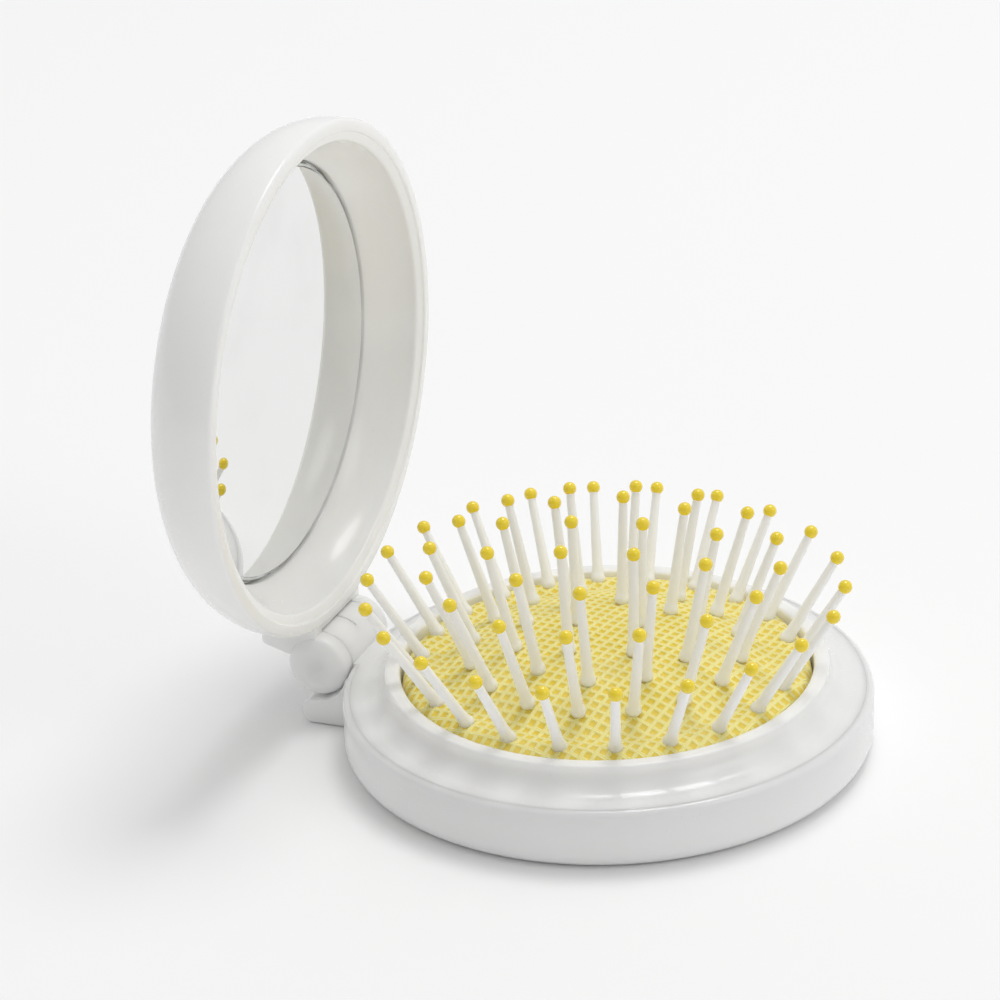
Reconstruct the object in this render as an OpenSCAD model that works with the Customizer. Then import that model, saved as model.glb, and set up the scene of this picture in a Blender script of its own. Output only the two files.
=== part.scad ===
/* [Case] */
// Diameter of the base, across its outer wall
case_d = 64.4; // [62:0.2:70]
// Height of the base up to the ledge that the lid closes on
base_h = 7.6; // [7.2:0.1:8.4]
// Wall of the moulded shells
wall = 1.6; // [1.4:0.1:1.8]
// Rounding under the base
bottom_round = 2.4; // [2:0.1:2.6]
// Rounding at the top of the base wall
shoulder_round = 0.9; // [0.6:0.1:1.1]

/* [Top ring] */
// Width of the border, from the side of the base to the bore that the brush pad stands in
border_w = 7.2; // [7:0.1:7.6]
// Height of the collar above the ledge
collar_h = 3.05; // [2.8:0.05:3.4]
// Width of the rounded lip on the collar
lip_w = 1.85; // [1.7:0.05:2]
// Radius of the hollow curve between the lip and the ledge
cove_r = 2.8; // [2.5:0.1:2.9]

/* [Lid] */
// How far the side of the lid stands back from the side of the base
lid_step = 0.65; // [0.4:0.05:0.8]
// Depth of the lid, from its rim to its back
lid_h = 11.1; // [10.8:0.1:12]
// Large rounding between the side and the back of the lid
lid_round = 9.2; // [8.8:0.1:9.4]
// Width of the lid's rim, from its side to its mouth
rim_w = 2.8; // [2.6:0.1:3]
// Angle at which the lid stands open
open_angle = 88; // [80:1:100]

/* [Mirror] */
// How far the edge of the mirror lies inside the mouth of the lid
mirror_inset = 2.85; // [2.6:0.05:3.4]
// Thickness of the glass
mirror_t = 1.4; // [1:0.1:1.6]
// Depth of the glass face behind the rim
mirror_depth = 6.8; // [6.6:0.1:7]
// Thickness of the adhesive foam behind the glass
foam_t = 0.5; // [0.4:0.1:0.6]
// How far the foam stops short of the edge of the mirror
foam_inset = 2; // [1:0.5:4]

/* [Hinge] */
// Distance from the side of the base to the hinge axis
hinge_out = 3.5; // [3.4:0.1:3.8]
// Diameter of the hinge knuckles
knuckle_d = 7.8; // [7.4:0.1:8]
// Diameter of the steel hinge pin
hinge_pin_d = 1.6; // [1.2:0.1:2]
// Half the length of the base's pair of knuckles
base_knuckle_x = 4.5; // [4:0.1:5]
// Width of each lid knuckle, without its domed end
lid_knuckle_w = 1.9; // [1.6:0.1:2.4]
// How far each lid knuckle's end is domed
knuckle_dome = 0.9; // [0.6:0.1:1.2]
// Gap between the two knuckles of the base
middle_gap = 1.1; // [0.6:0.1:1.6]
// Depth of the neck that joins the lid to its knuckles
neck_h = 7.4; // [6.8:0.1:7.6]
// How much the neck tapers away from the hinge, over the outer half of its depth
neck_taper = 1; // [0.6:0.1:1.2]
// Thickness of the neck that joins the base to its knuckles
base_neck_t = 2.6; // [2:0.1:3]

/* [Brush] */
// Height of the pad's edge above the table
pad_edge_z = 7.3; // [7:0.1:7.6]
// Height of the raised pad's crown above its edge
dome_h = 6.2; // [5.8:0.1:6.4]
// Thickness of the rubber
pad_t = 1.4; // [1.2:0.1:1.5]
// Length of a pin from the pad to the middle of its ball tip
pin_l = 13.3; // [12.8:0.1:13.5]
// Diameter of a pin at its root
pin_root_d = 1.5; // [1.3:0.1:1.6]
// Diameter of a pin under its ball
pin_top_d = 1.05; // [0.9:0.05:1.2]
// Diameter of the ball tips
ball_d = 1.7; // [1.5:0.1:1.8]
// Lean of the outer pins, in degrees
outer_lean = 31.9; // [29:0.1:32.5]
// Distance from the middle at which the pins stand upright
upright_r = 4; // [3:0.5:5]
// Distance from the bore to the outer ring of pins
pin_inset = 3.3; // [3.2:0.1:3.5]
// Distance between one ring of pins and the next
ring_pitch = 5.4; // [5.3:0.05:5.5]

/* [Hidden] */
$fn = 96;
thin_fn = 32;        // for pins and other small round things
mirror_gap = 0.1;    // gap round the mirror in its well
fit_gap = 0.05;      // radius clearance of a shaft in its bore
side_gap = 0.1;      // gap between neighbouring knuckles
move_gap = 0.3;      // gap between other pieces that move past each other
eps = 0.01;

case_r = case_d / 2;
bore_r = case_r - border_w;
lip_r = bore_r + lip_w;
collar_z = base_h + collar_h;
lid_r = case_r - lid_step;
mouth_r = lid_r - rim_w;
mirror_r = mouth_r - mirror_inset;
outer_ring_r = bore_r - pin_inset;     // radius of the outer ring of pins
hinge_y = case_r + hinge_out;
knuckle_r = knuckle_d / 2;
hinge_z = base_h + 0.05;

floor_t = 1.4;                         // floor of the base shell
clamp_z = 3.4;                         // height at which the rubber flange is clamped
flange_t = 0.7;                        // thickness of the clamped rubber flange
ledge_t = 1.5;                         // thickness of the top ring's ledge
ledge_r = case_r - shoulder_round;     // where the ledge meets the outer wall
sleeve_r = bore_r + wall;              // outside of the sleeve under the collar
guide_r = bore_r + 0.2;                // opening through the floor
skirt_t = 1.3;                         // wall of the rubber skirt
skirt_r = bore_r - move_gap;           // outside of the rubber skirt

lug_w = 15;                            // width of the stop lug under the hinge
lug_t = 3.1;                           // its thickness
lug_z = 0.1;                           // its height above the table
lug_reach = 2.2;                       // how far it reaches past the hinge axis
rim_gap = 0.1;                         // gap between the shut lid's rim and the ledge
neck_short = 1;                        // how far the lid's neck stops short of the hinge axis
neck_w = 2 * (base_knuckle_x + side_gap + lid_knuckle_w);

lid_knuckle_x = base_knuckle_x + side_gap;
barrel_x = lid_knuckle_x + lid_knuckle_w;
rim_z = base_h + rim_gap;              // height of the shut lid's rim

ring_r = [for (k = [3 : -1 : 0]) outer_ring_r - k * ring_pitch];   // radii of the four rings of pins
ring_n = [4, 10, 16, 22];              // number of pins in each ring
ring_turn = [57, 9, 8.5, 6];           // turn of each ring, in degrees
root_l = 2.6;                          // from the pad down to an outer pin's root ball
root_ball_r = 0.9;
root_d = 1.2;
socket_r = root_ball_r + fit_gap;
gathered_lean = 10;                    // lean of the outer pins when the lid is shut
foot_r = pin_root_d / 2 + 0.1;         // rounded foot of a pin
hole_r = foot_r + 0.1;                 // hole for it in the rubber
plate_t = 1.2;                         // thickness of the push plate
plate_margin = 1.6;                    // how far the plate reaches past its pins
plate_r = ring_r[1] + plate_margin;
middle_ring_w = 3;
middle_ring_t = 1;
outer_ring_w = 2.9;
outer_ring_t = 1.7;
socket_room = 0.2;                     // room for a pin's root to tilt in the mouth of its socket

outer_n = ring_n[3];
outer_names = [for (i = [1 : outer_n]) str("outer_pin_", i < 10 ? "0" : "", i)];

// Height of the pad's upper face at distance r from the middle
function pad_z(r) = pad_edge_z + dome_h * (1 - pow(r / bore_r, 3));

// Lean of a pin that stands at distance r, in degrees
function lean(r) = outer_lean * (r - upright_r) / (outer_ring_r - upright_r);

// Middle of an outer pin's root ball
root_at = [ring_r[3] - root_l * sin(lean(ring_r[3])), pad_z(ring_r[3]) - root_l * cos(lean(ring_r[3]))];

socket_lip = 0.55;                     // height of the socket's lip above the middle of its ball
outer_ring_z = root_at[1] + socket_lip;   // top of the ring that holds the outer pins
plate_z = pad_z(plate_r) - pad_t - move_gap;
middle_ring_z = pad_z(ring_r[2] + middle_ring_w / 2) - pad_t - move_gap;

// Ring from r0 to r1 and from z0 to z1
module tube(r0, r1, z0, z1) {
    rotate_extrude()
        translate([r0, z0]) square([r1 - r0, z1 - z0]);
}

// Cylinder about the hinge axis, from x0 to x1
module along_hinge(r, x0, x1) {
    translate([x0, hinge_y, hinge_z]) rotate([0, 90, 0]) cylinder(r = r, h = x1 - x0);
}

// Places its children as the i-th pin of ring k, at the pad, leaning outwards
module pin_place(k, i) {
    r = ring_r[k];
    rotate([0, 0, ring_turn[k] + 360 * i / ring_n[k]])
        translate([r, 0, pad_z(r)])
            rotate([0, lean(r), 0])
                children();
}

// A tapered pin with a rounded foot and a ball tip
module pin() {
    color("whitesmoke") {
        sphere(r = foot_r, $fn = thin_fn);
        cylinder(r1 = pin_root_d / 2, r2 = pin_top_d / 2, h = pin_l, $fn = thin_fn);
    }
    color("gold")
        translate([0, 0, pin_l]) sphere(r = ball_d / 2, $fn = thin_fn);
}

// A ring of pins, each on an upright stem that stands on the plate at height z
module pin_ring(k, z) {
    for (i = [0 : ring_n[k] - 1]) {
        union() {
            pin_place(k, i) pin();
            rotate([0, 0, ring_turn[k] + 360 * i / ring_n[k]])
                translate([ring_r[k], 0, z])
                    color("whitesmoke") cylinder(d = root_d, h = pad_z(ring_r[k]) - z, $fn = thin_fn);
        }
    }
}

// Bowl of the base: outer wall, floor with the thumb opening, and the stop lug
module base_shell() {
    wall_in = case_r - wall;
    color("white") {
        difference() {
            union() {
                rotate_extrude() {
                    difference() {
                        union() {
                            translate([guide_r, bottom_round])
                                square([case_r - guide_r, base_h - shoulder_round - bottom_round]);
                            translate([guide_r, 0]) square([case_r - bottom_round - guide_r, bottom_round]);
                            translate([case_r - bottom_round, bottom_round]) circle(r = bottom_round);
                            translate([guide_r, base_h - shoulder_round])
                                square([ledge_r - guide_r, shoulder_round]);
                            translate([ledge_r, base_h - shoulder_round]) circle(r = shoulder_round);
                        }
                        // hollow between the wall and the inner sleeve
                        translate([sleeve_r, floor_t]) square([wall_in - sleeve_r, base_h]);
                        // seat of the top ring's ledge
                        translate([0, base_h - ledge_t]) square([ledge_r, ledge_t + 1]);
                        // room for the rubber flange and the collar's sleeve
                        translate([0, clamp_z]) square([sleeve_r + eps, base_h]);
                    }
                }
                base_lug();
            }
            // notch for the top ring's neck
            translate([-base_knuckle_x - side_gap, sleeve_r + eps, base_h - base_neck_t - side_gap])
                cube([2 * (base_knuckle_x + side_gap), case_r, base_h]);
            // the barrel and the lid's neck pass in front of the wall
            along_hinge(knuckle_r + move_gap, -barrel_x - knuckle_dome - 1, barrel_x + knuckle_dome + 1);
        }
    }
}

// Rounded lug under the hinge, on which the lid's neck stops when it is fully open
module base_lug() {
    y0 = case_r - wall / 2;
    y1 = hinge_y + lug_reach;
    translate([-lug_w / 2, y0, lug_z]) cube([lug_w, y1 - lug_t / 2 - y0, lug_t]);
    // saddle under the barrel
    translate([-lug_w / 2, y0, lug_z]) cube([lug_w, hinge_y - y0, base_h - shoulder_round - lug_z]);
    translate([-lug_w / 2, y1 - lug_t / 2, lug_z + lug_t / 2])
        rotate([0, 90, 0]) cylinder(d = lug_t, h = lug_w);
}

// Ledge, collar and sleeve in one moulding, with the base's two hinge knuckles
module top_ring() {
    lip_round = 0.45;
    cove_z = collar_z - lip_round;
    cove_mid_z = base_h + rim_gap + cove_r;
    neck_y = lip_r + 1;
    color("white") {
        difference() {
            union() {
                rotate_extrude() {
                    difference() {
                        union() {
                            translate([bore_r, clamp_z + flange_t])
                                square([wall, collar_z - lip_round - clamp_z - flange_t]);
                            translate([bore_r, base_h - ledge_t]) square([ledge_r - fit_gap - bore_r, ledge_t]);
                            translate([bore_r, base_h - eps])
                                square([lip_r + cove_r - bore_r, cove_z - base_h + eps]);
                            translate([bore_r + lip_round, cove_z]) square([lip_w - 2 * lip_round, lip_round]);
                            translate([bore_r + lip_round, cove_z]) circle(r = lip_round);
                            translate([lip_r - lip_round, cove_z]) circle(r = lip_round);
                        }
                        translate([lip_r + cove_r, cove_mid_z]) circle(r = cove_r);
                    }
                }
                // knuckles and the neck that carries them
                along_hinge(knuckle_r, -base_knuckle_x, base_knuckle_x);
                translate([-base_knuckle_x, neck_y, base_h - base_neck_t])
                    cube([2 * base_knuckle_x, hinge_y - neck_y, base_neck_t]);
            }
            along_hinge(hinge_pin_d / 2 + fit_gap, -base_knuckle_x - 1, base_knuckle_x + 1);
            translate([-middle_gap / 2, case_r, hinge_z - knuckle_r - 1])
                cube([middle_gap, 2 * knuckle_r + 4, 2 * knuckle_r + 2]);
        }
    }
}

// Domed rubber membrane: crown, skirt and clamped flange, with a hole for each pin
module cushion_pad() {
    steps = 16;
    crown_r = skirt_r - 0.3;
    top = [for (i = [0 : steps]) let (r = crown_r * i / steps) [r, pad_z(r)]];
    under_r = skirt_r - skirt_t;
    under = [for (i = [steps : -1 : 0]) let (r = under_r * i / steps) [r, pad_z(r) - pad_t]];
    color("gold")
        difference() {
            rotate_extrude()
                polygon(concat(top, [
                    [skirt_r, pad_z(crown_r) - 0.3],
                    [skirt_r, clamp_z + flange_t],
                    [sleeve_r - fit_gap, clamp_z + flange_t],
                    [sleeve_r - fit_gap, clamp_z],
                    [under_r, clamp_z]], under));
            for (k = [0 : 2])
                for (i = [0 : ring_n[k] - 1])
                    rotate([0, 0, ring_turn[k] + 360 * i / ring_n[k]])
                        translate([ring_r[k], 0, pad_z(ring_r[k]) - root_l])
                            cylinder(r = hole_r, h = root_l + 2, $fn = thin_fn);
            for (i = [0 : outer_n - 1])
                pin_place(3, i)
                    translate([0, 0, -root_l])
                        cylinder(r = hole_r, h = root_l + 2, $fn = thin_fn);
        }
}

// Stiff disc under the crown that the thumb pushes up; it holds the two inner rings of pins
module push_plate() {
    color("white")
        translate([0, 0, plate_z - plate_t]) cylinder(r = plate_r, h = plate_t);
}

// Stiff ring in the pad that holds the third ring of pins
module middle_pin_ring() {
    color("white")
        tube(ring_r[2] - middle_ring_w / 2, ring_r[2] + middle_ring_w / 2, middle_ring_z - middle_ring_t, middle_ring_z);
}

// Stiff ring in the pad with a ball socket for each outer pin
module outer_pin_ring() {
    mid_lean = (lean(ring_r[3]) + gathered_lean) / 2;
    color("white")
        difference() {
            tube(root_at[0] - outer_ring_w / 2, root_at[0] + outer_ring_w / 2,
                outer_ring_z - outer_ring_t, outer_ring_z);
            for (i = [0 : outer_n - 1])
                rotate([0, 0, ring_turn[3] + 360 * i / outer_n])
                    translate([root_at[0], 0, root_at[1]]) {
                        sphere(r = socket_r, $fn = thin_fn);
                        rotate([0, mid_lean, 0]) cylinder(r = root_d / 2 + socket_room, h = 2 * outer_ring_t, $fn = thin_fn);
                    }
        }
}

module pins_ring_1() { pin_ring(0, plate_z); }

module pins_ring_2() { pin_ring(1, plate_z); }

module pins_ring_3() { pin_ring(2, middle_ring_z); }

// The i-th pin of the outer ring, with the root ball that it tilts on
module outer_pin(i) {
    pin_place(3, i) {
        pin();
        color("whitesmoke") {
            translate([0, 0, -root_l]) {
                cylinder(d = root_d, h = root_l, $fn = thin_fn);
                sphere(r = root_ball_r, $fn = thin_fn);
            }
        }
    }
}

// Steel pin, with its ends flush inside the lid's knuckles
module hinge_pin() {
    color("silver") along_hinge(hinge_pin_d / 2, side_gap - barrel_x, barrel_x - side_gap);
}

// Turns its children from the closed place to the open one about the hinge axis
module opened() {
    translate([0, hinge_y, hinge_z])
        rotate([-open_angle, 0, 0])
            translate([0, -hinge_y, -hinge_z])
                children();
}

// Half profile of the lid's outside, from the rim at height 0 up to its back
module lid_outline() {
    square([lid_r - lid_round, lid_h]);
    square([lid_r, lid_h - lid_round]);
    translate([lid_r - lid_round, lid_h - lid_round]) circle(r = lid_round);
}

// Half profile of the lid's hollow: rim relief, mouth, curved wall and mirror well
module lid_hollow() {
    relief_h = 0.35;
    mouth_h = 0.6;
    relief_r = lip_r + cove_r + move_gap;
    well_r = mirror_r + mirror_gap;
    wall_drop = mirror_depth - mouth_h;
    reach = mouth_r - well_r;
    curve_r = (wall_drop * wall_drop + reach * reach) / (2 * reach);
    translate([0, -1]) square([relief_r, 1 + relief_h]);
    polygon([[0, 0], [relief_r, 0], [relief_r, relief_h], [mouth_r, mouth_h], [0, mouth_h]]);
    intersection() {
        translate([0, mouth_h]) square([mouth_r, wall_drop]);
        translate([mouth_r - curve_r, mouth_h]) circle(r = curve_r);
    }
    square([well_r, mirror_depth + mirror_t + foam_t]);
}

// Lid with the hollow for the mirror, its neck and its two knuckles
module lid_shell() {
    color("white")
        opened()
            difference() {
                union() {
                    translate([0, 0, rim_z])
                        rotate_extrude()
                            intersection() {
                                lid_outline();
                                square([lid_r, lid_h]);
                            }
                    difference() {
                        translate([-neck_w / 2, 0, rim_z])
                            rotate([90, 0, 90]) linear_extrude(neck_w) neck_side();
                        translate([0, 0, rim_z]) cylinder(r = lid_r - wall, h = neck_h);
                    }
                    for (side = [-1, 1]) {
                        translate([side * (lid_knuckle_x + lid_knuckle_w / 2), hinge_y, hinge_z])
                            rotate([0, 90, 0])
                                cylinder(r = knuckle_r, h = lid_knuckle_w, center = true);
                        translate([side * barrel_x, hinge_y, hinge_z])
                            rotate([0, side * 90, 0]) knuckle_end();
                    }
                }
                translate([0, 0, rim_z]) rotate_extrude() lid_hollow();
                along_hinge(hinge_pin_d / 2 + fit_gap, -barrel_x, barrel_x);
                // room for the base's knuckles and their neck
                along_hinge(knuckle_r + move_gap, -lid_knuckle_x, lid_knuckle_x);
            }
}

// The neck seen from its side: distance from the middle of the lid, and height above the rim
module neck_side() {
    y1 = hinge_y - neck_short;
    polygon([[lid_r - rim_w, 0], [y1, 0], [y1, neck_h / 2], [y1 - neck_taper, neck_h], [lid_r - rim_w, neck_h]]);
}

// Domed end of a lid knuckle, on the plane z = 0
module knuckle_end() {
    dome_r = (knuckle_r * knuckle_r + knuckle_dome * knuckle_dome) / (2 * knuckle_dome);
    rotate_extrude()
        intersection() {
            translate([0, knuckle_dome - dome_r]) circle(r = dome_r);
            square([knuckle_r, knuckle_dome]);
        }
}

// Silvered glass
module mirror_glass() {
    color("lightsteelblue")
        opened()
            translate([0, 0, rim_z + mirror_depth])
                cylinder(r = mirror_r, h = mirror_t);
}

// Adhesive foam disc between the glass and the lid
module mirror_foam() {
    color("dimgray")
        opened()
            translate([0, 0, rim_z + mirror_depth + mirror_t])
                cylinder(r = mirror_r - foam_inset, h = foam_t);
}

base_shell();
top_ring();
cushion_pad();
push_plate();
middle_pin_ring();
outer_pin_ring();
pins_ring_1();
pins_ring_2();
pins_ring_3();
hinge_pin();
lid_shell();
mirror_glass();
mirror_foam();
for (i = [0 : outer_n - 1])
    outer_pin(i);
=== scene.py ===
# %% [markdown]
# # A folding hairbrush with a mirror
#
# The imported CAD model gives the places of all the bodies, so it is loaded first and every new piece is made around
# it.

# %% Load the frame
import math

import bmesh
import bpy
from mathutils import Matrix, Vector


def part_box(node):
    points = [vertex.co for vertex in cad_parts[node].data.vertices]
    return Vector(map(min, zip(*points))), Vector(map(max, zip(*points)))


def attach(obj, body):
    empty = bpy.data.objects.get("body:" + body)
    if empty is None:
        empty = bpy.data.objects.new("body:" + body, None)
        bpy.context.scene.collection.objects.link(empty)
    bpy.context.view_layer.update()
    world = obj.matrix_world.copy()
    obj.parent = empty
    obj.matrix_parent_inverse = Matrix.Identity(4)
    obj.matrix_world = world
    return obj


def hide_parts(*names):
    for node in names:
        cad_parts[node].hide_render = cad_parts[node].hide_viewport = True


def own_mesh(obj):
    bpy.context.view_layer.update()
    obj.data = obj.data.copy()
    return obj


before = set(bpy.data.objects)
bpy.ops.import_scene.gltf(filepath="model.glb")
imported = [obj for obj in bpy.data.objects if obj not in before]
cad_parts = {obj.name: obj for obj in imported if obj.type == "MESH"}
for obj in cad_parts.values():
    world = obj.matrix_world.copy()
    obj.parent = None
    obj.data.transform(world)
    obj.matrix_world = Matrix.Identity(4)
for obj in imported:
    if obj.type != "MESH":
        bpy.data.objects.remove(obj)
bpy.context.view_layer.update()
MM = 0.001

# %% [markdown]
# ## The camera
#
# The photograph was taken with a long lens, a little above the brush and to the left of its hinge. The camera's
# place, its direction and its slight roll were worked out from the ellipses of the rims, and a 108 mm lens gives
# the same size in the frame.

# %% Camera
eye = Vector((-303.5, -114.1, 175.1)) * MM
forward = Vector((0.8442, 0.3532, -0.4033)).normalized()
roll = -0.0496

level_right = forward.cross(Vector((0, 0, 1))).normalized()
level_up = level_right.cross(forward)
right = level_right * math.cos(roll) + level_up * math.sin(roll)
up = level_up * math.cos(roll) - level_right * math.sin(roll)

camera = bpy.data.objects.new("camera", bpy.data.cameras.new("camera"))
camera.data.lens = 108
camera.data.clip_start = 0.01
camera.matrix_world = Matrix(((right.x, up.x, -forward.x, eye.x), (right.y, up.y, -forward.y, eye.y),
                              (right.z, up.z, -forward.z, eye.z), (0, 0, 0, 1)))
bpy.context.scene.collection.objects.link(camera)
bpy.context.scene.camera = camera
print("camera looks", round(math.degrees(math.asin(-forward.z)), 1), "degrees down")

# %% [markdown]
# ## Sizes that several pieces share
#
# Most sizes are read from the boxes of the CAD nodes, so that a new piece always fits the frame. The few that no
# box gives are written here once, in millimetres.

# %% Shared sizes
base_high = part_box("base_shell")[1]
mirror_low, mirror_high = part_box("mirror_glass")

CASE_R = base_high.x / MM            # outside of the base
LEDGE_Z = 7.6                        # ledge that the lid closes on
BORE_R = 25.0                        # inside of the collar
LIP_R = 26.85                        # outside of the collar's lip
COLLAR_Z = 10.65                     # top of the collar
MIRROR_R = mirror_high.x / MM
HINGE = Vector((0, 35.7, 7.65)) * MM  # a point on the hinge axis
KNUCKLE_R = 3.9
KNUCKLE_ROOM = 0.3                   # room that other parts leave round a knuckle
PIN_BORE_R = 0.85                    # bore of the steel hinge pin
OPEN_ANGLE = 88
RIM_Z = 7.7                          # rim of the lid when it is shut
print("base radius", round(CASE_R, 2), "mirror radius", round(MIRROR_R, 2))

# %% [markdown]
# ## Helpers for turned pieces
#
# Nearly everything on this brush is round, so it is made as on a lathe: a half profile is drawn as one flat face,
# its corners are rounded, and its outline is spun about an axis. A vertex bevel rounds a corner with as many
# segments as it is given, so one corner can be crisp and the next one a wide cove.

# %% A rounded half profile
def rounded_face(corners, per_mm=6):
    """A bmesh with one face in the XZ plane; each corner is (x, z, rounding), in millimetres."""
    bm = bmesh.new()
    verts = [bm.verts.new((x * MM, 0, z * MM)) for x, z, _ in corners]
    bm.faces.new(verts)
    for vert, (_, _, rounding) in zip(verts, corners):
        if rounding:
            segments = max(4, min(28, round(rounding * per_mm)))
            bmesh.ops.bevel(bm, geom=[vert], offset=rounding * MM, offset_type="ABSOLUTE", affect="VERTICES",
                            segments=segments, profile=0.5, material=-1, clamp_overlap=False)
    return bm


# %% A bmesh becomes an object
def as_object(name, bm):
    mesh = bpy.data.meshes.new(name)
    bm.to_mesh(mesh)
    bm.free()
    obj = bpy.data.objects.new(name, mesh)
    bpy.context.scene.collection.objects.link(obj)
    return obj


# %% Spinning a profile
def spin_round(bm, steps):
    """Spins everything in the bmesh once about Z, and closes the seam."""
    bmesh.ops.spin(bm, geom=bm.verts[:] + bm.edges[:], cent=(0, 0, 0), axis=(0, 0, 1), angle=2 * math.pi,
                   steps=steps, use_merge=True)
    bmesh.ops.remove_doubles(bm, verts=bm.verts, dist=1e-7)


def turned(corners, steps=192, axis="Z", per_mm=6):
    """A closed bmesh: the profile's outline spun once about Z.

    Where axis is X it lies along X, and then each corner's x is the radius and its z the place along the axis.
    """
    bm = rounded_face(corners, per_mm)
    bmesh.ops.delete(bm, geom=list(bm.faces), context="FACES_ONLY")
    on_axis = [e for e in bm.edges if all(v.co.x < 1e-7 for v in e.verts)]
    bmesh.ops.delete(bm, geom=on_axis, context="EDGES")
    spin_round(bm, steps)
    if axis == "X":
        bmesh.ops.rotate(bm, verts=bm.verts, cent=(0, 0, 0), matrix=Matrix.Rotation(math.pi / 2, 3, "Y"))
    bmesh.ops.recalc_face_normals(bm, faces=bm.faces)
    return bm


# %% Applying modifiers, and cutting or joining solids
def settle(obj):
    """Turns what the modifiers give into the object's own mesh."""
    shaped = bpy.data.meshes.new_from_object(obj.evaluated_get(bpy.context.evaluated_depsgraph_get()))
    obj.modifiers.clear()
    obj.data = shaped


def combine(obj, tool, operation):
    """Joins a second closed bmesh to the object, or cuts it out of it."""
    helper = as_object("tool", tool)
    step = obj.modifiers.new("combine", "BOOLEAN")
    step.operation, step.solver, step.object = operation, "EXACT", helper
    settle(obj)
    bpy.data.objects.remove(helper)


# %% A clear bore
def from_axis(point):
    """Distance of a point from the hinge axis, in millimetres."""
    return math.hypot(point.y - HINGE.y, point.z - HINGE.z) / MM


def clear_bore(obj):
    """Takes out what a cut left standing inside the hinge pin's bore, and merges the points that meet there."""
    bm = bmesh.new()
    bm.from_mesh(obj.data)
    inside = []
    for face in bm.faces:
        middle = face.calc_center_median()
        before_the_ends = abs(middle.x) < 6.4 * MM
        corners_in_bore = all(from_axis(vert.co) < PIN_BORE_R + 0.006 for vert in face.verts)
        if before_the_ends and corners_in_bore and from_axis(middle) < PIN_BORE_R - 0.03:
            inside.append(face)
    bmesh.ops.delete(bm, geom=inside, context="FACES")
    bmesh.ops.remove_doubles(bm, verts=bm.verts, dist=1e-6)
    bmesh.ops.dissolve_degenerate(bm, edges=bm.edges, dist=1e-6)
    bmesh.ops.delete(bm, geom=[e for e in bm.edges if not e.link_faces], context="EDGES")
    bm.to_mesh(obj.data)
    bm.free()


# %% Smooth shading with crisp edges kept
def smooth(obj, angle=35):
    for face in obj.data.polygons:
        face.use_smooth = True
    obj.data.set_sharp_from_angle(angle=math.radians(angle))
    return obj


# %% A block with rounded edges, as a tool or a piece
def round_edges(bm, edges, rounding, segments):
    bmesh.ops.bevel(bm, geom=edges, offset=rounding * MM, offset_type="OFFSET", affect="EDGES", segments=segments,
                    profile=0.5, material=-1)


def block(low, high, rounding, segments=4):
    """A box between two corners, in millimetres, with all its edges rounded."""
    low, high = Vector(low) * MM, Vector(high) * MM
    bm = bmesh.new()
    bmesh.ops.create_cube(bm, size=1)
    bmesh.ops.scale(bm, vec=high - low, verts=bm.verts)
    bmesh.ops.translate(bm, vec=(low + high) / 2, verts=bm.verts)
    if rounding:
        round_edges(bm, bm.edges[:], rounding, segments)
    return bm


# %% A barrel along the hinge axis
def barrel(x0, x1, radius, rounding=0.25, steps=96):
    """A cylinder on the hinge axis, from x0 to x1, in millimetres."""
    bm = turned([(0, x0, 0), (radius, x0, rounding), (radius, x1, rounding), (0, x1, 0)], steps, "X", 14)
    bmesh.ops.translate(bm, vec=HINGE, verts=bm.verts)
    return bm


# %% The tool for the hinge pin's bore
def bore_tool(x0, x1):
    """It is turned by one degree, so that none of its corners falls on a line of the barrel that it cuts."""
    bm = barrel(x0, x1, PIN_BORE_R, rounding=0.0, steps=48)
    bmesh.ops.rotate(bm, verts=bm.verts, cent=HINGE, matrix=Matrix.Rotation(math.radians(1), 3, "X"))
    return bm


# %% A profile pulled out along the hinge
def pulled(corners, width, rounding, segments, beyond):
    """A profile drawn in the YZ plane and pulled out along X to a width, in millimetres.

    The edges of its two side faces are rounded where they lie farther out than the given Y.
    """
    bm = rounded_face(corners, 8)
    bmesh.ops.rotate(bm, verts=bm.verts, cent=(0, 0, 0), matrix=Matrix.Rotation(math.pi / 2, 3, "Z"))
    bmesh.ops.translate(bm, vec=(-width / 2 * MM, 0, 0), verts=bm.verts)
    grown = bmesh.ops.extrude_face_region(bm, geom=bm.faces[:])["geom"]
    bmesh.ops.translate(bm, vec=(width * MM, 0, 0), verts=[v for v in grown if isinstance(v, bmesh.types.BMVert)])
    bmesh.ops.recalc_face_normals(bm, faces=bm.faces)
    side_edges = [e for e in bm.edges
                  if abs(e.verts[0].co.x - e.verts[1].co.x) < 1e-7 and max(v.co.y for v in e.verts) > beyond * MM]
    round_edges(bm, side_edges, rounding, segments)
    return bm


# %% [markdown]
# ## Helpers for materials
#
# Shader nodes are many and small, so two short functions add them: one for any node and one for arithmetic.

# %% Node helpers
def add(tree, kind, **settings):
    node = tree.nodes.new(kind)
    for name, value in settings.items():
        setattr(node, name, value)
    return node


def feed(tree, socket, value):
    """Links a socket to another one, or gives it a plain value."""
    if isinstance(value, bpy.types.NodeSocket):
        tree.links.new(value, socket)
    else:
        socket.default_value = value


def calc(tree, operation, *values):
    node = add(tree, "ShaderNodeMath", operation=operation)
    for socket, value in zip(node.inputs, values):
        feed(tree, socket, value)
    return node.outputs[0]


def remap(tree, value, low, high, to_low=0.0, to_high=1.0, kind="SMOOTHSTEP"):
    node = add(tree, "ShaderNodeMapRange", interpolation_type=kind)
    for socket, given in zip(node.inputs, (value, low, high, to_low, to_high)):
        feed(tree, socket, given)
    return node.outputs[0]


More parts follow.
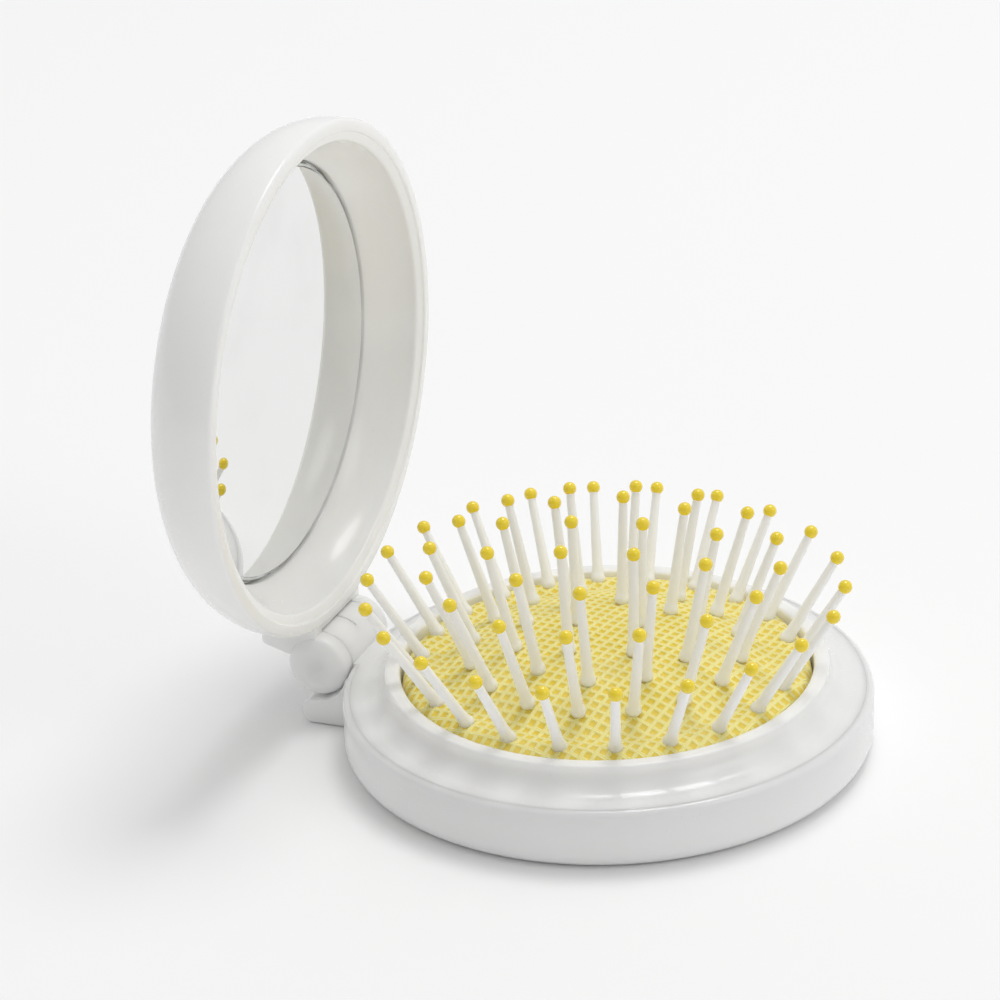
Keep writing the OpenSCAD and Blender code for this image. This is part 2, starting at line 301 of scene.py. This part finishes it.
def blend_colours(tree, share, first, second):
    node = add(tree, "ShaderNodeMix", data_type="RGBA")
    feed(tree, node.inputs[0], share)
    feed(tree, node.inputs[6], first)
    feed(tree, node.inputs[7], second)
    return node.outputs[2]


def new_material(name, **values):
    """A material with a Principled shader, and its tree; the values are set on the shader's own sockets."""
    material = bpy.data.materials.new(name)
    material.use_nodes = True
    tree = material.node_tree
    shader = tree.nodes["Principled BSDF"]
    for socket, value in values.items():
        shader.inputs[socket.replace("_", " ")].default_value = value
    return material, tree, shader


# %% [markdown]
# ## A group for moulded skins
#
# All the plastics here came out of a mould. Such a skin is never quite even: it has a very shallow orange peel, it
# is a little duller where fingers have rubbed it, and dust has settled on it. One node group gives these three, and
# each material takes its own share of them.

# %% The moulded skin group
skin = bpy.data.node_groups.new("moulded skin", "ShaderNodeTree")
skin.interface.new_socket("Peel size", in_out="INPUT", socket_type="NodeSocketFloat").default_value = 900
skin.interface.new_socket("Rub size", in_out="INPUT", socket_type="NodeSocketFloat").default_value = 70
skin.interface.new_socket("Gloss", in_out="INPUT", socket_type="NodeSocketFloat").default_value = 0.25
skin.interface.new_socket("Dulling", in_out="INPUT", socket_type="NodeSocketFloat").default_value = 0.12
skin.interface.new_socket("Height", in_out="OUTPUT", socket_type="NodeSocketFloat")
skin.interface.new_socket("Roughness", in_out="OUTPUT", socket_type="NodeSocketFloat")
skin.interface.new_socket("Tone", in_out="OUTPUT", socket_type="NodeSocketFloat")

ends = add(skin, "NodeGroupInput"), add(skin, "NodeGroupOutput")
where = add(skin, "ShaderNodeTexCoord").outputs["Object"]
peel = add(skin, "ShaderNodeTexNoise")
rub = add(skin, "ShaderNodeTexNoise")
specks = add(skin, "ShaderNodeTexNoise")
for texture, size, detail in ((peel, "Peel size", 2), (rub, "Rub size", 4)):
    feed(skin, texture.inputs["Vector"], where)
    feed(skin, texture.inputs["Scale"], ends[0].outputs[size])
    texture.inputs["Detail"].default_value = detail
feed(skin, specks.inputs["Vector"], where)
specks.inputs["Scale"].default_value = 2600
rubbed = remap(skin, rub.outputs[0], 0.42, 0.68)
dust = remap(skin, specks.outputs[0], 0.66, 0.72)
spread = calc(skin, "MULTIPLY", calc(skin, "ADD", rubbed, dust), ends[0].outputs["Dulling"])
feed(skin, ends[1].inputs["Height"], calc(skin, "ADD", peel.outputs[0], calc(skin, "MULTIPLY", dust, 0.4)))
feed(skin, ends[1].inputs["Roughness"], calc(skin, "ADD", ends[0].outputs["Gloss"], spread))
tone = calc(skin, "MULTIPLY", calc(skin, "ADD", calc(skin, "MULTIPLY", rubbed, 0.5), dust), 0.5)
feed(skin, ends[1].inputs["Tone"], tone)
print("group:", skin.name, "with", len(skin.nodes), "nodes")


# %% Using the group
def moulded(name, clean, worn, peel_size, rub_size, gloss, dulling, bump, **values):
    """A plastic: its colour when clean and where worn, and how its skin differs from a perfect one."""
    material, tree, shader = new_material(name, **values)
    coat = add(tree, "ShaderNodeGroup", node_tree=skin)
    for socket, value in (("Peel size", peel_size), ("Rub size", rub_size), ("Gloss", gloss), ("Dulling", dulling)):
        coat.inputs[socket].default_value = value
    relief = add(tree, "ShaderNodeBump")
    relief.inputs["Strength"].default_value = bump
    relief.inputs["Distance"].default_value = 0.00002
    feed(tree, relief.inputs["Height"], coat.outputs["Height"])
    feed(tree, shader.inputs["Normal"], relief.outputs[0])
    feed(tree, shader.inputs["Roughness"], coat.outputs["Roughness"])
    feed(tree, shader.inputs["Base Color"], blend_colours(tree, coat.outputs["Tone"], clean, worn))
    return material


# %% [markdown]
# ## The plastics
#
# The shells are a glossy white plastic that lets a little light in, which softens their shadows: subsurface
# scattering over a millimetre or two does that. The pins are nylon, which is clearer than that and slightly warm.
# The plate and rings inside are plain moulded parts that nobody polishes.

# %% Plastics
white_shell = moulded("white shell", (0.91, 0.91, 0.90, 1), (0.85, 0.84, 0.82, 1), 420, 60, 0.17, 0.1, 0.12,
                      Subsurface_Weight=0.55, Subsurface_Scale=0.003, IOR=1.5)
nylon = moulded("pin nylon", (0.95, 0.955, 0.955, 1), (0.91, 0.91, 0.89, 1), 1500, 300, 0.28, 0.1, 0.2,
                Subsurface_Weight=0.6, Subsurface_Scale=0.0012, IOR=1.53)
inner_white = moulded("inner plastic", (0.70, 0.70, 0.68, 1), (0.60, 0.59, 0.56, 1), 700, 90, 0.45, 0.15, 0.3, IOR=1.47)
tip_yellow = moulded("tip lacquer", (0.95, 0.73, 0.025, 1), (0.89, 0.63, 0.02, 1), 1800, 500, 0.10, 0.10, 0.2,
                     Coat_Weight=0.5, Coat_Roughness=0.08, IOR=1.5)
for shader_material in (white_shell, nylon):
    shader_material.node_tree.nodes["Principled BSDF"].inputs["Subsurface Radius"].default_value = (1.0, 0.98, 0.94)
print("plastics:", [m.name for m in (white_shell, nylon, inner_white, tip_yellow)])

# %% [markdown]
# ## The base bowl
#
# The real base is a shallow moulded bowl with a rounded foot and a soft shoulder. Its floor is a ring, because a
# finger pushes the pad up from below. It is turned from one profile. The barrel of the hinge passes in front of its
# wall, so a cylinder is cut out of it, and below that a saddle and a stop lug are joined on.

# %% Turn the bowl
bowl = as_object("base_bowl", turned([
    (25.2, 0, 0.35), (CASE_R, 0, 2.38), (CASE_R, LEDGE_Z, 0.8), (31.29, LEDGE_Z, 0.03), (31.29, 6.1, 0),
    (30.6, 6.1, 0.1), (30.6, 1.4, 0.5), (26.6, 1.4, 0.5), (26.6, 3.4, 0.15), (25.2, 3.4, 0.15)], 224))

# %% Stop lug and saddle
lug = pulled([(31.0, 0.1, 0), (37.9, 0.1, 1.35), (37.9, 3.2, 1.35), (36.2, 3.2, 0.3), (35.7, 3.3, 0.2), (35.7, 6.7, 0),
              (31.0, 6.7, 0)], width=15, rounding=0.35, segments=3, beyond=32.4)
combine(bowl, lug, "UNION")
combine(bowl, barrel(-8.4, 8.4, KNUCKLE_R + KNUCKLE_ROOM, rounding=0.0), "DIFFERENCE")
combine(bowl, block((-4.6, 26.61, 4.9), (4.6, 33, 9), 0), "DIFFERENCE")
print("base bowl:", len(bowl.data.polygons), "faces")

# %% [markdown]
# ## The collar ring
#
# A second moulding lies in the bowl: its ledge closes the base, its collar stands round the pad, and the middle of
# the hinge, with a fine slit half way, is moulded on it. Between the lip and the ledge it is hollowed in one smooth
# cove, which is what catches the long highlight in the photograph.

# %% Turn the ring and add its part of the hinge
collar = as_object("collar_ring", turned([
    (BORE_R, 4.1, 0.15), (26.6, 4.1, 0.1), (26.6, 6.1, 0.1), (31.28, 6.1, 0.1), (31.28, LEDGE_Z, 0.03),
    (LIP_R, LEDGE_Z, 2.75), (LIP_R, COLLAR_Z, 0.26), (LIP_R - 0.5, COLLAR_Z + 0.02, 0.2),
    (BORE_R + 0.55, COLLAR_Z, 0.2), (BORE_R, COLLAR_Z - 0.1, 0.3)], 256, per_mm=9))
combine(collar, block((-4.44, 27.9, 5.0), (4.44, 35.7, LEDGE_Z - 0.04), 0.25, 2), "UNION")
combine(collar, barrel(-4.5, 4.5, KNUCKLE_R), "UNION")
combine(collar, bore_tool(-9, 9), "DIFFERENCE")
clear_bore(collar)
HALF_SLIT = 0.12
combine(collar, block((-HALF_SLIT, 33.2, 0), (HALF_SLIT, 41, 13), 0), "DIFFERENCE")
print("collar ring:", len(collar.data.polygons), "faces")

# %% [markdown]
# ## The lid
#
# The lid is a deep round cover. It is drawn shut, as it comes from the mould, and turned open about the hinge axis
# at the end. Its back runs into its side in one large rounding, its rim has a narrow flat with a step inside, and
# its inner wall curves in to the mirror's well.

# %% Turn the cover
def swing_open(bm):
    """Turns a bmesh from the shut place to the open one."""
    bmesh.ops.rotate(bm, verts=bm.verts, cent=HINGE, matrix=Matrix.Rotation(math.radians(-OPEN_ANGLE), 3, "X"))
    return bm


lid_profile = [(0, 11.1, 0), (31.55, 11.1, 9.2), (31.55, 0, 0.5), (29.95, 0, 0.15), (29.95, 0.35, 0.12),
               (28.75, 0.6, 0.3), (28.75, 4.3, 3.3), (26.0, 6.8, 0.12), (26.0, 8.7, 0.1), (0, 8.7, 0)]
lid = as_object("lid_cover", turned([(r, z + RIM_Z, rounding) for r, z, rounding in lid_profile], 256))

# %% Neck and knuckles of the lid
# The neck is the tongue between the lid and its knuckles. Its back tapers away from the hinge.
tongue = pulled([(30.1, RIM_Z + 0.04, 0), (34.7, RIM_Z + 0.04, 0.3), (34.7, RIM_Z + 3.7, 0.6), (33.7, RIM_Z + 7.4, 0.5),
                 (28.9, RIM_Z + 7.4, 0), (28.9, RIM_Z + 1.2, 0)], width=13.2, rounding=0.1, segments=2, beyond=30)
hinge_part = as_object("hinge_part", tongue)
combine(hinge_part, barrel(-4.6, 4.6, KNUCKLE_R + KNUCKLE_ROOM, rounding=0.0), "DIFFERENCE")
for side in (-1, 1):
    knuckle = turned([(0, 4.56, 0), (KNUCKLE_R, 4.56, 0.2), (KNUCKLE_R, 6.6, 0.5), (2.7, 7.3, 0.8), (0, 7.4, 0)],
                     96, "X", 10)
    bmesh.ops.translate(knuckle, vec=HINGE, verts=knuckle.verts)
    if side < 0:
        bmesh.ops.rotate(knuckle, verts=knuckle.verts, cent=HINGE, matrix=Matrix.Rotation(math.pi, 3, "Z"))
    combine(hinge_part, knuckle, "UNION")
combine(hinge_part, bore_tool(-6.5, 6.5), "DIFFERENCE")
clear_bore(hinge_part)
hinge_mesh = bmesh.new()
hinge_mesh.from_mesh(hinge_part.data)
bpy.data.objects.remove(hinge_part)
combine(lid, hinge_mesh, "UNION")
opened = bmesh.new()
opened.from_mesh(lid.data)
swing_open(opened).to_mesh(lid.data)
opened.free()
print("lid cover:", len(lid.data.polygons), "faces")

# %% Finish the three shells
for piece, body, node in ((bowl, "root", "base_shell"), (collar, "root", "top_ring"), (lid, "lid", "lid_shell")):
    piece.data.materials.clear()
    piece.data.materials.append(white_shell)
    smooth(piece)
    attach(piece, body)
    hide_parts(node)

# %% [markdown]
# ## The mirror
#
# A round glass with silvering behind it. Its ground edge slopes back a little, and that narrow slope is the bright
# and dark line round the mirror in the photograph. The reflection comes from a metallic shader with almost no
# roughness. The edge is dull grey glass with streaks of painted highlight and painted dark reflection round it.

# %% Mirror plate
mirror = as_object("mirror_plate", swing_open(turned([
    (0, RIM_Z + 6.8, 0), (MIRROR_R - 0.85, RIM_Z + 6.8, 0.05), (MIRROR_R, RIM_Z + 7.3, 0.1),
    (MIRROR_R, RIM_Z + 8.2, 0.1), (0, RIM_Z + 8.2, 0)], 256, per_mm=10)))
silver, tree, shader = new_material("silvered glass", Metallic=1.0, Roughness=0.015, Base_Color=(0.93, 0.935, 0.93, 1))
mist = add(tree, "ShaderNodeTexNoise")
mist.inputs["Scale"].default_value = 90
mist.inputs["Detail"].default_value = 5
feed(tree, mist.inputs["Vector"], add(tree, "ShaderNodeTexCoord").outputs["Object"])
feed(tree, shader.inputs["Roughness"], remap(tree, mist.outputs[0], 0.5, 0.8, 0.012, 0.05))
misted = remap(tree, mist.outputs[0], 0.45, 0.85)
feed(tree, shader.inputs["Base Color"], blend_colours(tree, misted, (0.86, 0.863, 0.855, 1), (0.81, 0.815, 0.805, 1)))

# %% Ground edge of the glass
ground, tree, shader = new_material("ground edge", Metallic=0.9, IOR=1.5)
centre = add(tree, "ShaderNodeVectorMath", operation="SUBTRACT")
centre.inputs[1].default_value = (0, (mirror_low.y + mirror_high.y) / 2, (mirror_low.z + mirror_high.z) / 2)
feed(tree, centre.inputs[0], add(tree, "ShaderNodeTexCoord").outputs["Object"])
split = add(tree, "ShaderNodeSeparateXYZ")
feed(tree, split.inputs[0], centre.outputs[0])
across, above = split.outputs[0], split.outputs[2]
around = calc(tree, "ARCTAN2", above, across)
squares = calc(tree, "ADD", calc(tree, "MULTIPLY", across, across), calc(tree, "MULTIPLY", above, above))
outward = calc(tree, "SQRT", squares)
streak = add(tree, "ShaderNodeCombineXYZ")
feed(tree, streak.inputs[0], calc(tree, "MULTIPLY", around, 5.0))
feed(tree, streak.inputs[1], calc(tree, "MULTIPLY", outward, 3500.0))
# The streaks round the edge are painted: the bright ones are painted highlights, the dark ones painted dark reflection.
glint_streaks = add(tree, "ShaderNodeTexNoise")
glint_streaks.inputs["Scale"].default_value = 1.0
glint_streaks.inputs["Detail"].default_value = 5
feed(tree, glint_streaks.inputs["Vector"], streak.outputs[0])
bright = remap(tree, glint_streaks.outputs[0], 0.4, 0.58)
feed(tree, shader.inputs["Base Color"], blend_colours(tree, bright, (0.24, 0.23, 0.22, 1), (0.86, 0.89, 0.91, 1)))
feed(tree, shader.inputs["Roughness"], remap(tree, glint_streaks.outputs[0], 0.3, 0.7, 0.38, 0.15))
mirror.data.materials.clear()
mirror.data.materials.append(silver)
mirror.data.materials.append(ground)
smooth(mirror, 20)
facing = Matrix.Rotation(math.radians(-OPEN_ANGLE), 3, "X") @ Vector((0, 0, 1))
for face in mirror.data.polygons:
    face.material_index = 0 if abs(face.normal.dot(facing)) > 0.97 else 1
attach(mirror, "lid")
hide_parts("mirror_glass")
print("mirror:", len(mirror.data.polygons), "faces")

# %% [markdown]
# ## The rubber pad
#
# The pad is a rubber membrane with a waffle of crossed strands pressed into its face: pale strands run over and
# under each other round square pits. The crown is spun in fine steps, and then each point is lowered by the depth
# of the waffle there. The finer threads are left to the material's bump, which costs nothing. The skirt that hangs
# from the crown and the flange that is clamped under the collar are a second piece, because they stay where they
# are when the crown goes down.

# %% Shape of the crown and of the waffle
PAD_EDGE, DOME, PITCH, TWIST = 7.3, 6.2, 1.32, math.radians(-12)
WAFFLE_DEPTH = 0.2


def crown_z(r):
    """Height of the pad's face at radius r, in millimetres."""
    return PAD_EDGE + DOME * (1 - (r / BORE_R) ** 3)


def face_z(r):
    """The same with the roll of rubber that bulges up inside the collar."""
    t = min(1, max(0, (r - 19.0) / 4.8))
    return crown_z(r) + 2.1 * t * t * (3 - 2 * t) * math.sqrt(max(0, 1 - max(0, (r - 24.15) / 0.75) ** 2))


def waffle(x, y):
    """Depth of the pressed waffle at a point, from 0 on a strand to 1 in a pit."""
    u = (x * math.cos(TWIST) + y * math.sin(TWIST)) / PITCH
    v = (y * math.cos(TWIST) - x * math.sin(TWIST)) / PITCH
    from_pit = max(abs(u - round(u)), abs(v - round(v)))
    t = min(1, max(0, (0.35 - from_pit) / 0.13))
    return t * t * (3 - 2 * t)


# %% Spin the crown
def crown_profile():
    bm = bmesh.new()
    radii = [24.7 * i / 97 for i in range(98)]
    top = [bm.verts.new((r * MM, 0, face_z(r) * MM)) for r in radii]
    edge = [bm.verts.new((r * MM, 0, (crown_z(24.5) + rise) * MM)) for r, rise in ((24.9, 0.3), (24.92, -0.5))]
    under = [bm.verts.new((r * MM, 0, (crown_z(r) - 1.3) * MM)) for r in (24.5, 20, 15, 10, 5, 0)]
    line = top + edge + under
    for a, b in zip(line, line[1:]):
        bm.edges.new((a, b))
    return bm


crown_mesh = crown_profile()
spin_round(crown_mesh, 480)
bmesh.ops.recalc_face_normals(crown_mesh, faces=crown_mesh.faces)
for vert in crown_mesh.verts:
    r = math.hypot(vert.co.x, vert.co.y) / MM
    if r < 23.9 and vert.co.z / MM > face_z(r) - 0.1:
        vert.co.z -= WAFFLE_DEPTH * MM * waffle(vert.co.x / MM, vert.co.y / MM)
crown = as_object("rubber_crown", crown_mesh)
print("rubber crown:", len(crown.data.polygons), "faces")

# %% Spin the skirt and its flange
skirt = as_object("rubber_skirt", turned([
    (23.4, 3.4, 0.2), (26.55, 3.4, 0.1), (26.55, 4.08, 0.1), (24.7, 4.08, 0.25), (24.7, 6.9, 0.3), (24.1, 6.9, 0.25),
    (23.4, 6.2, 0.3)], 160))

# %% [markdown]
# The waffle's colour follows the same lattice as its shape, so both use the pitch and the turn from above. Strands
# are pale, pits are a deeper gold. Each strand is two thin threads that pass over the crossing strands and then
# under them, and a bump makes them.

# %% Rubber material
rubber, tree, shader = new_material("waffle rubber", IOR=1.45, Sheen_Weight=0.25, Sheen_Roughness=0.4)
place = add(tree, "ShaderNodeTexCoord").outputs["Object"]
spot = add(tree, "ShaderNodeSeparateXYZ")
feed(tree, spot.inputs[0], place)
across, along = math.cos(TWIST) / (PITCH * MM), math.sin(TWIST) / (PITCH * MM)
x, y = spot.outputs[0], spot.outputs[1]
u = calc(tree, "ADD", calc(tree, "MULTIPLY", x, across), calc(tree, "MULTIPLY", y, along))
v = calc(tree, "SUBTRACT", calc(tree, "MULTIPLY", y, across), calc(tree, "MULTIPLY", x, along))
off_u = calc(tree, "ABSOLUTE", calc(tree, "SUBTRACT", u, calc(tree, "ROUND", u)))
off_v = calc(tree, "ABSOLUTE", calc(tree, "SUBTRACT", v, calc(tree, "ROUND", v)))
pit = remap(tree, calc(tree, "MAXIMUM", off_u, off_v), 0.24, 0.33, 1.0, 0.0)


def threads(off):
    """Two thin threads along a strand: 1 on each thread's crest."""
    return remap(tree, calc(tree, "ABSOLUTE", calc(tree, "SUBTRACT", off, 0.4)), 0.0, 0.075, 1.0, 0.0)


square = calc(tree, "ADD", calc(tree, "FLOOR", u), calc(tree, "FLOOR", v))
over = calc(tree, "GREATER_THAN", calc(tree, "COSINE", calc(tree, "MULTIPLY", square, math.pi)), 0)
along_u, along_v = threads(off_v), threads(off_u)
crossing = calc(tree, "MULTIPLY", calc(tree, "GREATER_THAN", off_u, 0.3), calc(tree, "GREATER_THAN", off_v, 0.3))
shown = []
for crest, hidden in ((along_u, over), (along_v, calc(tree, "SUBTRACT", 1.0, over))):
    shown.append(calc(tree, "MULTIPLY", crest, calc(tree, "SUBTRACT", 1.0, calc(tree, "MULTIPLY", crossing, hidden))))
thread = calc(tree, "MAXIMUM", *shown)

grain = add(tree, "ShaderNodeTexNoise")
grain.inputs["Scale"].default_value = 2400
grain.inputs["Detail"].default_value = 3
patches = add(tree, "ShaderNodeTexNoise")
patches.inputs["Scale"].default_value = 110
for texture in (grain, patches):
    feed(tree, texture.inputs["Vector"], place)
strand_colour = blend_colours(tree, thread, (0.96, 0.83, 0.19, 1), (0.98, 0.94, 0.53, 1))
face_colour = blend_colours(tree, pit, strand_colour, (0.82, 0.61, 0.05, 1))
tinted = blend_colours(tree, remap(tree, patches.outputs[0], 0.3, 0.75, 0.0, 0.2), face_colour, (0.96, 0.88, 0.45, 1))
feed(tree, shader.inputs["Base Color"], tinted)
feed(tree, shader.inputs["Roughness"], remap(tree, thread, 0.0, 1.0, 0.62, 0.42))
relief = add(tree, "ShaderNodeBump")
relief.inputs["Strength"].default_value = 0.7
relief.inputs["Distance"].default_value = 0.00009
height = calc(tree, "ADD", calc(tree, "MULTIPLY", thread, 0.8), calc(tree, "MULTIPLY", grain.outputs[0], 0.35))
feed(tree, relief.inputs["Height"], calc(tree, "SUBTRACT", height, calc(tree, "MULTIPLY", pit, 0.7)))
feed(tree, shader.inputs["Normal"], relief.outputs[0])
print("rubber material:", len(tree.nodes), "nodes")

# %% Plain rubber for the skirt
plain_rubber = moulded("plain rubber", (0.9, 0.74, 0.22, 1), (0.8, 0.64, 0.18, 1), 900, 120, 0.55, 0.12, 0.4, IOR=1.45)
for piece, material in ((crown, rubber), (skirt, plain_rubber)):
    piece.data.materials.clear()
    piece.data.materials.append(material)
    smooth(piece, 60)
    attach(piece, "root")
    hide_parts("cushion_pad")
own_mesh(crown)

# %% [markdown]
# ## The pins
#
# Each pin is a nylon rod that narrows towards its tip, with a rounded foot that sits in the rubber and a ball of
# yellow lacquer on its end. One pin is spun once, and copies are leaned outwards and set in four rings, more
# steeply the farther out they stand. The outer ones are pieces of their own, because each tilts by itself when the
# lid comes down.

# %% The rings
RING_R = [5.5, 10.9, 16.3, 21.7]
RING_N = [4, 10, 16, 22]
RING_TURN = [57, 9, 8.5, 6]
PIN_L, PIN_FOOT_R, PIN_TOP_R = 13.3, 0.72, 0.525
BALL_R, BULB_R = 0.85, 0.95          # ball of lacquer at the top, bulb on the pad
ROOT_L, ROOT_BALL_R = 2.6, 0.9       # only the outer pins have a root


def lean(r):
    return 1.8 * (r - 4)


# %% One pin, upright
def arc(radius, z, angles):
    """Points of a round outline about a middle on the pin's axis: (radius, height) pairs from angles in degrees."""
    return [(radius * math.cos(math.radians(a)), z + radius * math.sin(math.radians(a))) for a in angles]


def one_pin(rooted, lift):
    """A pin that starts at the origin, with its foot's bulb lifted to the pad's face.

    Material 0 is the nylon and 1 the ball. The outer pins also have a root with a ball foot.
    """
    bm = bmesh.new()
    line = [(0.0, lift - BULB_R)] + arc(BULB_R, lift, (-70, -50, -30, -10, 10, 28))
    line += [(PIN_FOOT_R + 0.04, lift + 0.75), (PIN_FOOT_R, lift + 1.2), (PIN_FOOT_R, lift + 1.6)]
    line += [(PIN_FOOT_R + (PIN_TOP_R - PIN_FOOT_R) * s, PIN_L * s) for s in (0.25, 0.4, 0.55, 0.7, 0.82, 0.9)]
    line += [(PIN_TOP_R, PIN_L - 0.9), (PIN_TOP_R, PIN_L - 0.62)]
    ball = arc(BALL_R, PIN_L, range(-50, 90, 14)) + [(0.0, PIN_L + BALL_R)]
    if rooted:
        root = [(0.0, -ROOT_L - ROOT_BALL_R)] + arc(ROOT_BALL_R, -ROOT_L, (-60, -30, 0, 25, 46))
        line = root + [(0.6, -1.0), (0.62, -0.6)] + line[2:]
    verts = [bm.verts.new((r * MM, 0, z * MM)) for r, z in line + ball]
    for a, b in zip(verts, verts[1:]):
        bm.edges.new((a, b))
    spin_round(bm, 20)
    bmesh.ops.recalc_face_normals(bm, faces=bm.faces)
    for face in bm.faces:
        face.material_index = 1 if face.calc_center_median().z > (PIN_L - 0.66) * MM else 0
    return bm


# %% Standing pins in their rings
def turn_of(ring, index):
    return math.radians(RING_TURN[ring] + 360 * index / RING_N[ring])


def stand(ring, index, rooted):
    """A copy of the pin, leaned outwards and put in its place."""
    r = RING_R[ring]
    bm = one_pin(rooted, 0.45 + 0.8 * (face_z(r) - crown_z(r)))
    leaned = Matrix.Translation(Vector((r, 0, crown_z(r))) * MM) @ Matrix.Rotation(math.radians(lean(r)), 4, "Y")
    bmesh.ops.transform(bm, matrix=Matrix.Rotation(turn_of(ring, index), 4, "Z") @ leaned, verts=bm.verts)
    return bm


def stem(ring, index, low):
    """The upright stem of an inner pin, down to the plate that carries it."""
    r, turn = RING_R[ring], turn_of(ring, index)
    bm = turned([(0, low, 0), (0.6, low, 0.1), (0.6, crown_z(r) - 0.3, 0), (0, crown_z(r) - 0.3, 0)], 16)
    bmesh.ops.translate(bm, vec=(r * MM * math.cos(turn), r * MM * math.sin(turn), 0), verts=bm.verts)
    return bm


def finish_pins(name, parts, body, node):
    bm = bmesh.new()
    for part in parts:
        mesh = bpy.data.meshes.new("part")
        part.to_mesh(mesh)
        part.free()
        bm.from_mesh(mesh)
        bpy.data.meshes.remove(mesh)
    pins = as_object(name, bm)
    for material in (nylon, tip_yellow):
        pins.data.materials.append(material)
    smooth(pins, 50)
    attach(pins, body)
    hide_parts(node)
    return pins


# %% Inner rings
plate_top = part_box("push_plate")[1].z / MM
ring_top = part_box("middle_pin_ring")[1].z / MM
for ring, body, low in ((0, "plunger", plate_top), (1, "plunger", plate_top), (2, "middle_ring", ring_top)):
    parts = [piece for i in range(RING_N[ring]) for piece in (stand(ring, i, False), stem(ring, i, low))]
    pins = finish_pins(f"pins_of_ring_{ring + 1}", parts, body, f"pins_ring_{ring + 1}")
    print(pins.name, len(pins.data.polygons), "faces")

# %% Outer ring
for i in range(RING_N[3]):
    finish_pins(f"outer_bristle_{i + 1:02d}", [stand(3, i, True)], f"outer_pin_{i + 1:02d}", f"outer_pin_{i + 1:02d}")
print("outer pins:", RING_N[3])

# %% [markdown]
# ## Finishes for the pieces that stay as they are
#
# The plate and the two rings under the pad, the steel pin and the foam disc behind the mirror have the right shape
# in the CAD model, so they only get their materials.

# %% Steel, foam and inner plastic
steel, tree, shader = new_material("drawn steel", Metallic=1.0)
drawn = add(tree, "ShaderNodeTexNoise")
drawn.inputs["Scale"].default_value = 900
stretch = add(tree, "ShaderNodeMapping")
stretch.inputs["Scale"].default_value = (0.05, 1, 1)
feed(tree, stretch.inputs[0], add(tree, "ShaderNodeTexCoord").outputs["Object"])
feed(tree, drawn.inputs["Vector"], stretch.outputs[0])
steel_colour = blend_colours(tree, drawn.outputs[0], (0.45, 0.45, 0.46, 1), (0.72, 0.72, 0.71, 1))
feed(tree, shader.inputs["Base Color"], steel_colour)
feed(tree, shader.inputs["Roughness"], remap(tree, drawn.outputs[0], 0.3, 0.7, 0.22, 0.42))

foam, tree, shader = new_material("foam tape", IOR=1.4)
cells = add(tree, "ShaderNodeTexVoronoi")
cells.inputs["Scale"].default_value = 3500
feed(tree, cells.inputs["Vector"], add(tree, "ShaderNodeTexCoord").outputs["Object"])
foam_colour = blend_colours(tree, cells.outputs["Distance"], (0.03, 0.03, 0.032, 1), (0.09, 0.09, 0.095, 1))
feed(tree, shader.inputs["Base Color"], foam_colour)
feed(tree, shader.inputs["Roughness"], remap(tree, cells.outputs["Distance"], 0.0, 0.6, 0.95, 0.8))

kept_nodes = {"push_plate": inner_white, "middle_pin_ring": inner_white, "outer_pin_ring": inner_white,
              "hinge_pin": steel, "mirror_foam": foam}
for node, material in kept_nodes.items():
    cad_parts[node].data.materials.clear()
    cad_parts[node].data.materials.append(material)

# %% [markdown]
# ## Floor, light and background
#
# The photograph was taken on white, with soft light from above and behind: the shells are darkest where they face
# the camera, and the shadow lies in front of the base. So the world is brighter behind the object than in front of
# it, a lamp stands high behind it, and a weaker one fills in from the right.

# %% Floor
floor_mesh = bmesh.new()
bmesh.ops.create_grid(floor_mesh, x_segments=2, y_segments=2, size=3.0)
floor = as_object("floor", floor_mesh)
paper = bpy.data.materials.new("paper")
paper.use_nodes = True
tree = paper.node_tree
tree.nodes.clear()
diffuse = add(tree, "ShaderNodeBsdfDiffuse")
diffuse.inputs["Color"].default_value = (0.96, 0.96, 0.96, 1)
feed(tree, add(tree, "ShaderNodeOutputMaterial").inputs["Surface"], diffuse.outputs[0])
floor.data.materials.append(paper)

# %% World
world = bpy.data.worlds.new("studio")
bpy.context.scene.world = world
world.use_nodes = True
tree = world.node_tree
background = tree.nodes["Background"]
background.inputs["Color"].default_value = (0.92, 0.92, 0.92, 1)
bright_side = add(tree, "ShaderNodeVectorMath", operation="DOT_PRODUCT")
feed(tree, bright_side.inputs[0], add(tree, "ShaderNodeTexCoord").outputs["Generated"])
bright_side.inputs[1].default_value = Vector((0.6, -0.12, 0.6)).normalized()
feed(tree, background.inputs["Strength"], remap(tree, bright_side.outputs["Value"], -1.0, 1.0, 0.28, 0.83, "LINEAR"))

# %% Lamps
def soft_box(name, place, aim, size, power):
    lamp = bpy.data.lights.new(name, "AREA")
    lamp.shape, lamp.size, lamp.energy = "DISK", size, power
    obj = bpy.data.objects.new(name, lamp)
    obj.location = place
    obj.rotation_euler = (Vector(aim) - Vector(place)).to_track_quat("-Z", "Y").to_euler()
    bpy.context.scene.collection.objects.link(obj)
    return obj


soft_box("overhead", (0.42, -0.08, 1.4), (0, 0, 0.02), 0.7, 6.9)
soft_box("side", (-0.15, -0.85, 0.6), (0, 0, 0.03), 0.5, 0.9)
bpy.context.scene.view_settings.view_transform = "Standard"
